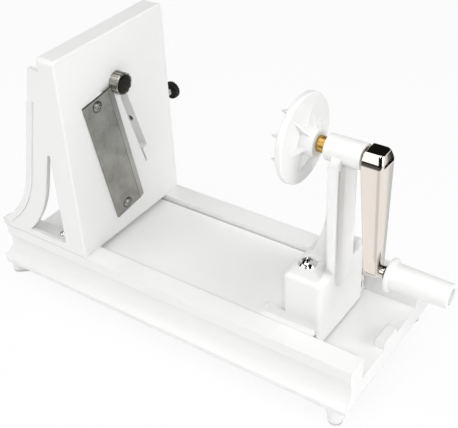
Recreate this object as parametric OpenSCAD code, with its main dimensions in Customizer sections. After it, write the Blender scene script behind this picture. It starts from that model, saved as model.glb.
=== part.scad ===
// Hand-cranked spiral slicer: a railed base with a fixed blade frame and a sliding crank carriage.
// Millimetres, +Z up. X runs along the base towards the crank, Y runs away from the blade's handle side.
// Sizes are set out from the middle of the base's lower edge, then moved to the middle of the bounding box.

/* [Base] */
// length of the base
base_length = 360; // [340:1:390]
// width over the flared lower edge
base_width = 147; // [143:0.5:152]
// width over the tops of the two rails
rail_span = 132; // [129:0.5:136]
// height of the rail tops above the lower edge
rail_height = 38; // [36:0.5:41]
// width of the channel between the rails
channel_width = 93; // [90:0.5:96]
// height of the channel floor above the lower edge
floor_height = 17; // [15:0.5:18.5]
// thickness of the channel floor
floor_thickness = 4; // [3:0.25:5]
// thickness of the base's side and end walls
base_wall = 3; // [2.5:0.25:3.5]
// thickness of the rail tops
rail_skin = 3.5; // [3:0.25:5]
// thickness of the webs under the floor
base_web = 2.5; // [2:0.25:3.5]
// number of hollow cells along the base
cell_count = 6; // [5:1:8]
// radius of the concave side walls
cove_radius = 20; // [18:0.5:24]
// height of the deepest line of the concave walls
cove_height = 20.5; // [19:0.5:22]
// depth of the concave walls behind the rail's top edge
cove_waist = 1.5; // [1:0.1:2]
// plan radius of the two corners at the blade end
corner_radius = 8; // [5:0.5:12]
// length of the stop block at the crank end
stop_length = 8; // [6:0.5:10]
// width of the stop block
stop_width = 22; // [16:0.5:28]
// height of the stop block above the channel floor
stop_height = 6.5; // [5:0.25:8]

/* [Feet] */
// height of each foot under the base
foot_height = 13; // [11:0.5:16]
// radius of a foot where it meets the base
foot_top_radius = 10.5; // [9:0.25:12]
// radius of a foot at its lower end
foot_tip_radius = 6; // [5.5:0.25:7]
// distance from the end of the base to a foot's centre
foot_inset = 15; // [13:0.5:18]
// distance from the middle plane to a foot's centre
foot_offset = 57; // [56:0.5:58]
// thickness of the pad under each foot
pad_thickness = 3; // [2:0.25:4]
// radius of the pad
pad_radius = 5.2; // [4.8:0.1:5.5]
// radius of the screw boss above each foot
foot_boss_radius = 6; // [5:0.25:6.5]
// length of a foot screw's shank
foot_screw_length = 22; // [18:0.5:26]

/* [Small screws] */
// shank radius of the foot and frame screws
screw_radius = 2; // [1.6:0.1:2.3]
// head radius of the foot and frame screws
screw_head_radius = 3.8; // [3.2:0.1:4]
// head height of the foot and frame screws
screw_head_height = 2.5; // [2:0.1:3]
// gap round a screw shank in its hole
screw_fit = 0.05; // [0.02:0.01:0.1]
// gap round a screw head in its recess
head_gap = 0.5; // [0.3:0.1:0.6]

/* [Blade frame] */
// distance from the middle of the base to the plate's front face
plate_setback = 77; // [70:0.5:84]
// width of the plate and of the whole frame
plate_width = 131; // [127:0.5:134]
// height of the plate above the rails
plate_height = 184; // [178:0.5:192]
// depth of the plate with its back walls
plate_depth = 17; // [16:0.25:19]
// thickness of the plate's front skin over the pockets
plate_skin = 4; // [3:0.25:5]
// edge rounding of the plate
plate_round = 1.5; // [1:0.25:2]
// corner radius of the plate seen from the front
plate_corner = 4; // [3.5:0.5:6]
// thickness of the two side legs
leg_thickness = 4; // [3:0.25:5]
// height of the legs' top above the rails
leg_height = 173; // [165:0.5:176]
// depth of the leg at its top, behind the plate
leg_top_depth = 11; // [9:0.5:13]
// depth of the leg where its sweep begins, behind the plate
leg_mid_depth = 37; // [34:0.5:40]
// height above the rails where the sweep begins
sweep_start = 68; // [64:0.5:72]
// radius of the sweep down to the foot of the leg
sweep_radius = 100; // [95:1:106]
// length of the leg's foot behind the plate
leg_foot_length = 82; // [78:0.5:84]
// width of the band between the leg's back edge and its window
window_band = 22; // [18:0.5:24]
// width of the upright band between the plate and the window
window_post = 4.5; // [3:0.25:7]
// height of the window's lower edge above the rails
window_sill = 7; // [6:0.25:9]
// height of the window's top above the rails
window_top = 96; // [88:0.5:104]
// width of the raised bead along the leg's back edge
bead_width = 6; // [4:0.25:8]
// height of the bead above the leg's outer face
bead_rise = 1.2; // [0.8:0.1:1.6]
// height of the bead's upper end above the rails
bead_top = 144; // [136:0.5:152]
// width of the foot flange inside each leg
flange_width = 17; // [16:0.25:18]
// thickness of the foot flange
flange_thickness = 4; // [3:0.25:5]
// distance from the middle plane to the frame screws
frame_screw_offset = 53; // [52:0.25:54.5]
// distance from the plate's back to the first frame screw
frame_screw_first = 20; // [17:0.5:24]
// spacing of the frame screws along a leg
frame_screw_pitch = 38; // [32:0.5:44]
// radius of the screw boss under the rail top
frame_boss_radius = 4.5; // [4:0.25:5]
// length of a frame screw's shank
frame_screw_length = 16; // [13:0.5:19]

/* [Slicing blade] */
// length of the blade
blade_length = 121; // [116:0.5:124]
// width of the blade
blade_width = 35; // [33:0.5:37]
// thickness of the blade
blade_thickness = 1.5; // [1.2:0.1:2]
// width of the ground bevel along the cutting edge
blade_bevel = 6; // [4.5:0.25:7.5]
// thickness left at the cutting edge
blade_edge = 0.3; // [0.2:0.05:0.5]
// lean of the blade in the plane of the plate, in degrees
blade_lean = 10.9; // [9:0.1:12.5]
// lift of the cutting edge away from the plate, in degrees
blade_lift = 4; // [3:0.1:5]
// distance of the blade's middle from the middle plane
blade_side = 14.6; // [13.5:0.1:16]
// height of the blade's middle above the rails
blade_rise = 78.4; // [76:0.2:81]
// distance from each end of the blade to its screw
blade_screw_margin = 7; // [6:0.25:9]
// distance of the blade screws from the blade's long centre line
blade_screw_offset = 3.5; // [2.5:0.1:4.5]
// head radius of the blade screws
blade_head_radius = 4.2; // [3.8:0.1:4.5]
// height of the domed head of the blade screws
blade_head_height = 2; // [1.5:0.1:2.5]
// shank radius of the blade screws
blade_screw_radius = 2.2; // [1.8:0.1:2.5]
// shank length of the blade screws
blade_screw_length = 11; // [9:0.25:13]
// width of the slice throat under the blade
throat_width = 9.5; // [8:0.25:10]
// distance from each end of the blade to the slice throat
throat_margin = 14.5; // [13:0.5:18]
// distance from the cutting edge back to the throat
throat_setback = 1; // [0.5:0.1:2]
// width of the relief pocket behind the blade seat
relief_width = 16; // [12:0.5:17]
// gap round the core tube where the blade's corner is cut away
corner_gap = 0.4; // [0.3:0.05:0.8]

/* [Comb slot and core tube] */
// width of the comb slot
slot_width = 8; // [7:0.25:9]
// length of the comb slot
slot_length = 64; // [58:0.5:67]
// lean of the comb slot in the plane of the plate, in degrees
slot_lean = 16.7; // [15.5:0.1:18]
// distance of the slot's middle from the middle plane
slot_side = 15.3; // [14.8:0.1:17]
// height of the slot's middle above the rails
slot_rise = 94.9; // [92:0.2:97]
// width of the locating slit below the slot
slit_width = 2; // [1.5:0.1:2.5]
// length of the locating slit
slit_length = 14; // [10:0.5:17]
// depth of the locating slit
slit_depth = 6; // [4:0.25:8]
// outer radius of the core tube
core_outer = 9.5; // [9:0.1:10.5]
// inner radius of the core tube
core_inner = 8.1; // [7.6:0.1:8.5]
// how far the core tube stands out of the plate
core_reach = 8.5; // [6:0.25:11]

/* [Clamp screw] */
// height of the clamp screw above the rails
clamp_rise = 94; // [91:0.5:97]
// depth of the clamp screw behind the plate's front face
clamp_depth = 8; // [7.5:0.25:9]
// radius of the clamp stud
clamp_radius = 3; // [2.5:0.1:3.5]
// gap between the stud and its bore
clamp_fit = 0.05; // [0.02:0.01:0.1]
// length of the stud from its tip to the knob
clamp_length = 53; // [51:0.5:57]
// distance of the stud's tip from the middle plane
clamp_tip = 21.5; // [21:0.5:24]
// height of the solid bar round the clamp bore
clamp_bar = 20; // [16:0.5:24]
// radius of the clamp knob
knob_radius = 7.9; // [7.2:0.1:9]
// thickness of the clamp knob
knob_thickness = 6.5; // [5.5:0.25:8]
// number of grip flutes round the knob
knob_flutes = 20; // [14:1:24]
// radius of one grip flute
flute_radius = 0.6; // [0.5:0.05:0.8]
// radius of the shoulder on the knob's inner side
shoulder_radius = 5; // [4:0.25:6]
// thickness of the shoulder
shoulder_thickness = 1.5; // [1:0.25:2]

/* [Sled] */
// gap between the deck's edge and the rail
deck_gap = 1.6; // [1:0.1:2.2]
// distance from the rail tops down to the deck
deck_drop = 5; // [4:0.25:6]
// thickness of the deck
deck_thickness = 3.5; // [3:0.25:4.5]
// sliding gap between the sled and the base
slide_gap = 0.3; // [0.2:0.05:0.5]
// width of each runner
runner_width = 8; // [6:0.25:10]
// height of each runner
runner_height = 4; // [3:0.25:5]
// thickness of the sled's walls and ribs
sled_wall = 2.5; // [2:0.25:3.5]
// spacing of the two long ribs under the deck
sled_rib_spacing = 48; // [44:0.5:56]
// distance from the middle of the base to the sled's tail
sled_tail = 95; // [90:0.5:102]

/* [Upright] */
// distance from the middle of the base to the upright's back face
upright_back = 136.5; // [133:0.5:140]
// length of the upright's block along the base
block_length = 33; // [31:0.5:37]
// width of the block
block_width = 72; // [66:0.5:78]
// height of the block above the deck
block_height = 46; // [42:0.5:50]
// edge rounding of the block
block_round = 4.5; // [3.5:0.25:5]
// wall thickness of the hollow block
block_wall = 3.5; // [3:0.25:4.5]
// thickness of the block's skirt over the end of the sled
skirt_thickness = 3.5; // [3:0.25:5]
// gap between the skirt and the channel floor
skirt_gap = 2; // [1:0.25:4]
// length of the two low cheeks in front of the block
cheek_length = 17; // [12:0.5:20]
// height of the cheeks above the deck
cheek_height = 8.5; // [6:0.25:11]
// thickness of the cheeks
cheek_thickness = 2.5; // [2:0.25:3.5]
// depth of the column along the base
column_depth = 7.5; // [6.5:0.25:9]
// width of the column
column_width = 31; // [28:0.5:34]
// width of the hollow down the column's back
groove_width = 26; // [24:0.25:27]
// depth of the hollow down the column's back
groove_depth = 4.5; // [3.5:0.25:5]
// height of the hollow's lower end above the deck
groove_foot = 24; // [20:0.5:30]
// thickness of the rib on the column's front
rib_thickness = 8; // [6:0.25:10]
// depth of the rib in front of the column
rib_depth = 5; // [4:0.25:7]
// height above the deck where the rib starts to spread
rib_start = 107; // [102:0.5:112]
// radius of the rib's spread
rib_radius = 138; // [130:1:160]
// distance of the bolts in front of the upright's back face
bolt_setback = 22.5; // [20:0.25:23.5]
// distance between the two bolts
bolt_spacing = 32; // [28:0.5:38]
// shank radius of the bolts
bolt_radius = 4; // [3.5:0.1:4.5]
// head radius of the bolts
bolt_head_radius = 7.5; // [6.5:0.1:8.5]
// height of the domed bolt heads
bolt_head_height = 4.2; // [3.5:0.1:5]
// gap round a bolt in its hole
bolt_fit = 0.1; // [0.05:0.05:0.3]
// radius of the posts round the bolts
post_radius = 7.5; // [7:0.25:8.5]
// radius over the corners of a bolt's nut
nut_radius = 7.2; // [6.8:0.1:7.5]
// height of a nut
nut_height = 6; // [5:0.25:6.5]

/* [Bearing and spindle] */
// height of the turning axis above the rails
axis_rise = 139.5; // [137:0.5:142]
// outer radius of the bearing tube
tube_radius = 10; // [9.5:0.25:10.75]
// how far the column's flat top lies under the turning axis
column_drop = 1; // [0.5:0.25:2]
// how far the bearing tube stands in front of the column's back
tube_front = 15; // [13:0.25:17]
// how far the bearing tube stands behind the column's back
tube_rear = 14; // [12:0.25:15]
// outer radius of the two bushes
bush_radius = 7.5; // [7:0.1:8]
// length of each bush
bush_length = 11; // [8:0.25:13]
// radius of the spindle
spindle_radius = 4; // [3.6:0.1:4.4]
// running gap between the spindle and its bushes
spindle_fit = 0.05; // [0.02:0.01:0.1]
// gap between turning faces and the bearing tube
face_gap = 0.3; // [0.2:0.05:0.5]
// length of the thrust collar
collar_length = 8; // [7:0.25:10]
// radius of the thrust collar
collar_radius = 6.3; // [6:0.1:7]
// chamfer on both ends of the thrust collar
collar_chamfer = 0.6; // [0.3:0.1:1]

/* [Pronged wheel] */
// radius of the wheel
wheel_radius = 35; // [32:0.25:38]
// thickness of the wheel's disc
wheel_thickness = 5.5; // [4.5:0.25:7]
// rounding of the wheel's rim
rim_round = 1.6; // [1:0.1:2]
// radius of the hub
hub_radius = 10.5; // [9.5:0.25:12]
// length of the hub behind the disc
hub_length = 11; // [9:0.25:13]
// depth of the spindle's end in the disc
spindle_seat = 3; // [2:0.25:3.5]
// number of ribs behind the disc
wheel_ribs = 6; // [5:1:8]
// turn of the ribs, in degrees
wheel_rib_turn = 6; // [0:1:60]
// height of the ribs at the hub
wheel_rib_height = 8; // [6:0.25:8.75]
// thickness of the wheel's ribs
wheel_rib_thickness = 2; // [1.5:0.1:3]
// reach of the ribs from the axis
wheel_rib_reach = 25; // [22:0.5:30]
// number of prongs
prong_count = 8; // [6:1:10]
// radius of the circle of prongs
prong_circle = 25; // [22:0.25:28]
// radius of one prong
prong_radius = 1.6; // [1.2:0.1:2]
// length of a prong in front of the disc
prong_reach = 10; // [8:0.25:13]
// length of a prong's pointed end
prong_point = 4; // [2.5:0.25:6]
// depth of a prong in the disc
prong_seat = 3.5; // [2.5:0.25:4]
// turn of the circle of prongs, in degrees
prong_turn = 20; // [0:1:45]

/* [Crank] */
// gap between the bearing tube and the crank arm
arm_gap = 0.7; // [0.5:0.05:1.5]
// thickness of the arm at the spindle
arm_thickness = 17.1; // [16:0.1:18.5]
// thickness of the arm at the handle
arm_end_thickness = 12.3; // [11:0.1:14]
// width of the arm at the spindle
arm_width = 21.6; // [20.6:0.1:24]
// width of the arm's round lower end
arm_end_width = 13; // [11.5:0.25:16]
// distance between the spindle and the handle's pin
crank_radius = 94.5; // [88:0.5:100]
// height of the arm's shoulder above the axis
arm_shoulder = 1; // [0.5:0.25:2]
// height of the arm's bevelled cap above the shoulder
arm_cap = 8; // [6.5:0.25:9]
// how far the cap is set in from the arm's edges
cap_inset = 3.5; // [3:0.1:4.2]
// how far the cap is set in from the arm's outer face
cap_face_inset = 1.7; // [1.2:0.1:2.4]
// how far the cap is set in from the arm's inner face
cap_back_inset = 1; // [0.7:0.1:1.6]
// edge rounding of the cap
cap_round = 1.2; // [0.8:0.1:1.6]
// edge rounding of the arm
arm_round = 3.5; // [2.5:0.25:4]
// edge rounding of the arm's lower end
arm_end_round = 2.5; // [1.5:0.25:3]
// length of the spindle in the arm
arm_seat = 11; // [9:0.25:12.5]
// radius of the grub screw
grub_radius = 2; // [1.6:0.1:2.5]
// length of the grub screw
grub_length = 5; // [4:0.25:5.5]
// radius of the boss round the handle's pin
boss_radius = 5; // [4.4:0.1:5.8]
// length of the boss on the arm's outer face
boss_length = 3.7; // [2.5:0.1:4.5]

/* [Handle] */
// radius of the handle's pin
pin_radius = 3; // [2.6:0.1:3.4]
// depth of the pin in the arm
pin_seat = 9; // [7:0.25:10.5]
// head radius of the pin
pin_head_radius = 5; // [4.4:0.1:5.6]
// head height of the pin
pin_head_height = 3; // [2.5:0.25:4]
// depth of the pin's head inside the grip
pin_recess = 12; // [9:0.25:15]
// running gap between the grip and its pin
grip_fit = 0.06; // [0.02:0.01:0.1]
// thickness of the washer between the arm's boss and the grip
washer_thickness = 2.7; // [2:0.1:3.5]
// radius of the washer
washer_radius = 6; // [5.2:0.1:6.8]
// length of the grip
grip_length = 49; // [46:0.5:55]
// radius of the grip's flange
flange_radius = 13.4; // [12.5:0.1:15]
// thickness of the grip's flange
flange_depth = 3.5; // [3:0.25:5]
// radius of the grip next to its flange
grip_radius = 10.6; // [10:0.1:12]
// radius of the grip at its outer end
grip_end_radius = 9.6; // [9:0.1:10.5]
// radius of the open bore at the grip's outer end
grip_bore = 6.3; // [5.8:0.1:7]
// rounding of the grip's edges
grip_round = 1.2; // [0.8:0.1:1.4]

/* [Hidden] */
$fn = 64;
// small overlap that keeps cuts clean
cut = 1;
flare = (base_width - rail_span) / 2;
base_left = -base_length / 2;
base_right = base_length / 2;
deck_top = rail_height - deck_drop;
deck_half = channel_width / 2 - deck_gap;
runner_half = channel_width / 2 - slide_gap;
runner_foot = floor_height + slide_gap;
deck_under = deck_top - deck_thickness;
cell_left = base_left + flare + base_wall;
cell_pitch = (base_right - base_wall - cell_left + base_web) / cell_count;
cell_length = cell_pitch - base_web;
floor_cell_width = (channel_width - 2 * base_web) / 3;
rail_cell_inner = channel_width / 2 + base_wall;
rail_cell_outer = rail_span / 2 - cove_waist - base_wall;
plate_front = -plate_setback;
plate_back = plate_front - plate_depth;
blade_z = rail_height + blade_rise;
slot_z = rail_height + slot_rise;
clamp_x = plate_front - clamp_depth;
clamp_z = rail_height + clamp_rise;
axis_z = rail_height + axis_rise;
block_front = upright_back - block_length;
block_top = deck_top + block_height;
column_front = upright_back - column_depth;
rib_front = column_front - rib_depth;
bolt_x = upright_back - bolt_setback;
sled_end = upright_back - skirt_thickness;
tube_start = upright_back - tube_front;
tube_end = upright_back + tube_rear;
collar_end = tube_start - face_gap;
collar_start = collar_end - collar_length;
wheel_back = collar_start - hub_length;
wheel_front = wheel_back - wheel_thickness;
arm_left = tube_end + arm_gap;
arm_right = arm_left + arm_thickness;
pin_z = axis_z - crank_radius;
boss_end = arm_right + boss_length;
washer_end = boss_end + washer_thickness;
grip_start = washer_end + face_gap;
grip_end = grip_start + grip_length;
pin_head_start = grip_end - pin_recess;
knob_start = clamp_tip + clamp_length;
knob_end = knob_start + knob_thickness;
sweep_slope = (leg_mid_depth - leg_top_depth) / (leg_height - sweep_start);
sweep_turn = atan(sweep_slope);
sweep_x = plate_back - leg_mid_depth - sweep_radius * cos(sweep_turn);
sweep_z = rail_height + sweep_start + sweep_radius * sin(sweep_turn);
throat_far = blade_width / 2 - throat_setback;
throat_near = throat_far - throat_width;
seat_lift = (throat_near + blade_width / 2) * tan(blade_lift);
blade_hole = blade_screw_radius + screw_fit;
blade_screw_reach = blade_length / 2 - blade_screw_margin;
throat_length = blade_length - 2 * throat_margin;
mid_x = (base_left + grip_end) / 2;
mid_y = (knob_end - base_width / 2) / 2;
floor_z = -foot_height - pad_thickness;
white = [0.93, 0.93, 0.91];
grey = [0.82, 0.82, 0.81];
steel = [0.72, 0.73, 0.74];
chrome = [0.80, 0.81, 0.82];
brass = [0.78, 0.62, 0.30];
black = [0.10, 0.10, 0.10];

// moves a piece from the base's own setting-out to the shared frame
module placed() {
    translate([-mid_x, -mid_y, -floor_z])
        children();
}

// a cylinder along X from one place to another
module along_x(radius, start, end) {
    translate([start, 0, 0])
        rotate([0, 90, 0])
            cylinder(r = radius, h = end - start);
}

// a cylinder along Y from one place to another
module along_y(radius, start, end) {
    translate([0, start, 0])
        rotate([-90, 0, 0])
            cylinder(r = radius, h = end - start);
}

// a turned shape whose profile height runs along X
module turned_x() {
    rotate([0, 90, 0])
        rotate_extrude()
            children();
}

// a flat XZ shape given thickness along Y, starting at the given place
module upright_sheet(start, thickness) {
    translate([0, start + thickness, 0])
        rotate([90, 0, 0])
            linear_extrude(height = thickness)
                children();
}

// a domed screw head standing on z = 0 and its shank below
module domed_screw(head_radius, head_height, shank_radius, shank_length) {
    dome = (head_radius * head_radius + head_height * head_height) / (2 * head_height);
    intersection() {
        translate([0, 0, head_height - dome])
            sphere(r = dome);
        cylinder(r = head_radius + cut, h = head_height + cut);
    }
    translate([0, 0, -shank_length])
        cylinder(r = shank_radius, h = shank_length + head_height / 2);
}

module foot_place(side_x, side_y) {
    translate([side_x * (base_length / 2 - foot_inset), side_y * foot_offset, 0])
        children();
}

module at_feet() {
    for (side_x = [-1, 1])
        for (side_y = [-1, 1])
            foot_place(side_x, side_y)
                children();
}

module at_frame_screws() {
    for (row = [0, 1])
        for (side = [-1, 1])
            translate([plate_back - frame_screw_first - row * frame_screw_pitch, side * frame_screw_offset, 0])
                children();
}

module base_plan() {
    translate([base_left + corner_radius, -base_width / 2])
        square([base_length - corner_radius, base_width]);
    translate([base_left, -base_width / 2 + corner_radius])
        square([2 * corner_radius, base_width - 2 * corner_radius]);
    for (side = [-1, 1])
        translate([base_left + corner_radius, side * (base_width / 2 - corner_radius)])
            circle(r = corner_radius);
}

// the concave cut along one side of the base, whose rail edge lies on y = 0 and outside is +Y
module cove_cut(length) {
    translate([0, cove_radius - cove_waist, cove_height])
        rotate([0, 90, 0])
            cylinder(r = cove_radius, h = length, center = true);
    translate([-length / 2, 0, cove_height])
        cube([length, flare + cut, rail_height]);
}

module base_outline() {
    difference() {
        linear_extrude(height = rail_height)
            base_plan();
        for (side = [0, 1])
            mirror([0, side, 0])
                translate([0, rail_span / 2, 0])
                    cove_cut(base_length + 2 * cut);
        translate([base_left + flare, 0, 0])
            rotate([0, 0, 90])
                cove_cut(base_width + 2 * cut);
    }
}

module base_cells() {
    for (i = [0 : cell_count - 1])
        translate([cell_left + i * cell_pitch, 0, -cut]) {
            for (j = [-1, 0, 1])
                translate([0, j * (floor_cell_width + base_web) - floor_cell_width / 2, 0])
                    cube([cell_length, floor_cell_width, floor_height - floor_thickness + cut]);
            for (side = [0, 1])
                mirror([0, side, 0])
                    translate([0, rail_cell_inner, 0])
                        cube([cell_length, rail_cell_outer - rail_cell_inner, rail_height - rail_skin + cut]);
        }
}

module base_shell() {
    color(white)
        placed()
            difference() {
                union() {
                    difference() {
                        base_outline();
                        base_cells();
                    }
                    at_feet()
                        cylinder(r = foot_boss_radius, h = rail_height - cut);
                    translate([0, 0, rail_height - frame_screw_length])
                        at_frame_screws()
                            cylinder(r = frame_boss_radius, h = frame_screw_length - cut);
                }
                translate([base_left - cut, -channel_width / 2, floor_height])
                    cube([base_length - stop_length + cut, channel_width, rail_height]);
                for (side = [0, 1])
                    mirror([0, side, 0])
                        translate([0, stop_width / 2, floor_height])
                            cube([base_length, (channel_width - stop_width) / 2, rail_height]);
                translate([0, -channel_width / 2, floor_height + stop_height])
                    cube([base_length, channel_width, rail_height]);
                translate([0, 0, -cut])
                    at_feet()
                        cylinder(r = screw_radius + screw_fit, h = foot_screw_length);
                translate([0, 0, rail_height - frame_screw_length])
                    at_frame_screws()
                        cylinder(r = screw_radius + screw_fit, h = frame_screw_length + cut);
            }
}

module foot_body() {
    difference() {
        translate([0, 0, -foot_height])
            cylinder(r1 = foot_tip_radius, r2 = foot_top_radius, h = foot_height);
        translate([0, 0, -foot_height - cut])
            cylinder(r = screw_radius + screw_fit, h = foot_height + 2 * cut);
        translate([0, 0, -foot_height - cut])
            cylinder(r = screw_head_radius + head_gap, h = foot_height / 2 + cut);
    }
}

module foot_near_left() {
    color(white)
        placed()
            foot_place(-1, -1)
                foot_body();
}

module foot_far_left() {
    color(white)
        placed()
            foot_place(-1, 1)
                foot_body();
}

module foot_near_right() {
    color(white)
        placed()
            foot_place(1, -1)
                foot_body();
}

module foot_far_right() {
    color(white)
        placed()
            foot_place(1, 1)
                foot_body();
}

module foot_pads() {
    color(grey)
        placed()
            at_feet()
                translate([0, 0, floor_z])
                    cylinder(r = pad_radius, h = pad_thickness);
}

module foot_screws() {
    color(steel)
        placed()
            at_feet() {
                translate([0, 0, -foot_height / 2 - screw_head_height])
                    cylinder(r = screw_head_radius, h = screw_head_height);
                translate([0, 0, -foot_height / 2 - screw_head_height / 2])
                    cylinder(r = screw_radius, h = foot_screw_length - cut);
            }
}

module leg_shape() {
    difference() {
        polygon([
            [plate_front - plate_depth / 2, rail_height],
            [plate_front - plate_depth / 2, rail_height + leg_height],
            [plate_back - leg_top_depth, rail_height + leg_height],
            [plate_back - leg_mid_depth, rail_height + sweep_start],
            [plate_back - leg_foot_length, rail_height + sweep_start],
            [plate_back - leg_foot_length, rail_height]
        ]);
        translate([sweep_x, sweep_z])
            circle(r = sweep_radius, $fn = 128);
    }
}

// everything nearer the leg's back edge than the given distance
module back_band(width) {
    translate([sweep_x, sweep_z])
        circle(r = sweep_radius + width, $fn = 128);
    polygon([
        [plate_back - leg_mid_depth + width / cos(sweep_turn), rail_height + sweep_start],
        [plate_back - leg_top_depth + width / cos(sweep_turn), rail_height + leg_height],
        [sweep_x, rail_height + leg_height],
        [sweep_x, rail_height + sweep_start]
    ]);
}

module leg_window() {
    difference() {
        translate([plate_back - leg_foot_length, rail_height + window_sill])
            square([leg_foot_length - window_post, window_top - window_sill]);
        back_band(window_band);
    }
}

module leg_bead() {
    intersection() {
        leg_shape();
        back_band(bead_width);
        translate([plate_back - leg_foot_length, rail_height + window_sill])
            square([leg_foot_length, bead_top - window_sill]);
    }
}

module frame_leg() {
    upright_sheet(plate_width / 2 - leg_thickness, leg_thickness)
        difference() {
            leg_shape();
            leg_window();
        }
    upright_sheet(plate_width / 2 - leg_thickness, leg_thickness + bead_rise)
        leg_bead();
    translate([plate_back - leg_foot_length, plate_width / 2 - flange_width, rail_height])
        cube([leg_foot_length + plate_depth / 2, flange_width, flange_thickness]);
}

module plate_body() {
    half = plate_width / 2;
    top = rail_height + plate_height;
    hull() {
        for (side = [-1, 1]) {
            translate([plate_front - plate_round, side * (half - plate_corner), top - plate_corner])
                rotate([0, 90, 0])
                    rotate_extrude($fn = 32)
                        translate([plate_corner - plate_round, 0])
                            circle(r = plate_round, $fn = 32);
            translate([plate_back, side * (half - plate_corner), top - plate_corner])
                rotate([0, 90, 0])
                    cylinder(r = plate_corner, h = plate_round, $fn = 32);
            translate([plate_front - plate_round, side * (half - plate_round), rail_height])
                cylinder(r = plate_round, h = plate_round, $fn = 32);
            translate([plate_back, side * (half - plate_round) - plate_round, rail_height])
                cube([plate_round, 2 * plate_round, plate_round]);
        }
    }
}

// moves a piece to the blade's middle on the plate's front face, turned to the blade's lean
module on_blade() {
    translate([plate_front, -blade_side, blade_z])
        rotate([blade_lean, 0, 0])
            children();
}

// lifts a piece with the blade about its back edge
module lifted() {
    translate([0, -blade_width / 2, 0])
        rotate([0, 0, -blade_lift])
            translate([0, blade_width / 2, 0])
                children();
}

module on_slot() {
    translate([plate_front, slot_side, slot_z])
        rotate([slot_lean, 0, 0])
            children();
}

module at_blade_screws() {
    on_blade()
        lifted()
            for (end = [-1, 1])
                translate([0, -blade_screw_offset, end * blade_screw_reach])
                    rotate([0, 90, 0])
                        children();
}

module blade_seat() {
    on_blade()
        translate([0, 0, -blade_length / 2])
            linear_extrude(height = blade_length)
                polygon([
                    [-plate_skin / 2, -blade_width / 2],
                    [0, -blade_width / 2],
                    [seat_lift, throat_near],
                    [-plate_skin / 2, throat_near]
                ]);
}

module plate_cuts() {
    inner = plate_width / 2 - leg_thickness;
    pocket_x = plate_back - cut;
    pocket_depth = plate_depth - plate_skin + cut;
    bore_top = axis_z + core_outer + leg_thickness;
    pocket_top = rail_height + plate_height - plate_corner;
    bar_low = clamp_z - clamp_bar / 2;
    near_edge = blade_side + blade_width / 2 + blade_length / 2 * sin(blade_lean) + 2 * leg_thickness;
    far_edge = slot_side + slot_width / 2 + slot_length / 2 * sin(slot_lean) + leg_thickness;
    sill = rail_height + 2 * leg_thickness;
    translate([pocket_x, -inner, bore_top])
        cube([pocket_depth, 2 * inner, pocket_top - bore_top]);
    translate([pocket_x, -inner, sill])
        cube([pocket_depth, inner - near_edge + leg_thickness, bore_top - leg_thickness - sill]);
    translate([pocket_x, far_edge, sill])
        cube([pocket_depth, inner - far_edge, bar_low - sill]);
    translate([pocket_x, far_edge, bar_low + clamp_bar])
        cube([pocket_depth, inner - far_edge, bore_top - leg_thickness - bar_low - clamp_bar]);
    on_blade() {
        translate([-plate_depth - cut, throat_near, -throat_length / 2])
            cube([plate_depth + 2 * cut, throat_width, throat_length]);
        translate([-plate_depth - cut, throat_near - leg_thickness - relief_width, -throat_length / 2])
            cube([pocket_depth, relief_width, throat_length]);
    }
    on_slot() {
        translate([-plate_depth - cut, -slot_width / 2, -slot_length / 2])
            cube([plate_depth + 2 * cut, slot_width, slot_length]);
        translate([-slit_depth, -slot_width / 2, -slot_length / 2 - slit_length])
            cube([slit_depth + cut, slit_width, slit_length + cut]);
    }
    translate([0, 0, axis_z])
        along_x(core_outer, plate_back - cut, plate_front + cut);
    translate([clamp_x, 0, clamp_z])
        along_y(clamp_radius + clamp_fit, slot_side, plate_width / 2 + cut);
    at_blade_screws()
        translate([0, 0, -blade_screw_length - cut])
            cylinder(r = blade_hole, h = blade_screw_length + 2 * cut);
}

module blade_frame() {
    color(white)
        placed()
            difference() {
                union() {
                    plate_body();
                    blade_seat();
                    for (side = [0, 1])
                        mirror([0, side, 0])
                            frame_leg();
                }
                plate_cuts();
                at_frame_screws()
                    cylinder(r = screw_radius + screw_fit, h = rail_height + flange_thickness + cut);
            }
}

module frame_screws() {
    color(steel)
        placed()
            translate([0, 0, rail_height + flange_thickness])
                at_frame_screws()
                    domed_screw(screw_head_radius, screw_head_height, screw_radius, frame_screw_length);
}

module slicing_blade() {
    half = blade_width / 2;
    color(steel)
        placed()
            difference() {
                on_blade()
                    lifted()
                        translate([0, 0, -blade_length / 2])
                            linear_extrude(height = blade_length)
                                polygon([
                                    [0, -half],
                                    [blade_thickness, -half],
                                    [blade_thickness, half - blade_bevel],
                                    [blade_edge, half],
                                    [0, half]
                                ]);
                at_blade_screws()
                    translate([0, 0, -cut])
                        cylinder(r = blade_hole, h = blade_thickness + 2 * cut);
                translate([0, 0, axis_z])
                    along_x(core_outer + corner_gap, plate_front - cut, plate_front + core_reach);
            }
}

module blade_screws() {
    color(chrome)
        placed()
            at_blade_screws()
                translate([0, 0, blade_thickness])
                    domed_screw(blade_head_radius, blade_head_height, blade_screw_radius, blade_screw_length);
}

module core_tube() {
    color(steel)
        placed()
            translate([0, 0, axis_z])
                difference() {
                    along_x(core_outer, plate_back, plate_front + core_reach);
                    along_x(core_inner, plate_back - cut, plate_front + core_reach + cut);
                }
}

module clamp_stud() {
    color(steel)
        placed()
            translate([clamp_x, 0, clamp_z])
                along_y(clamp_radius, clamp_tip, knob_start + knob_thickness / 2);
}

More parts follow.
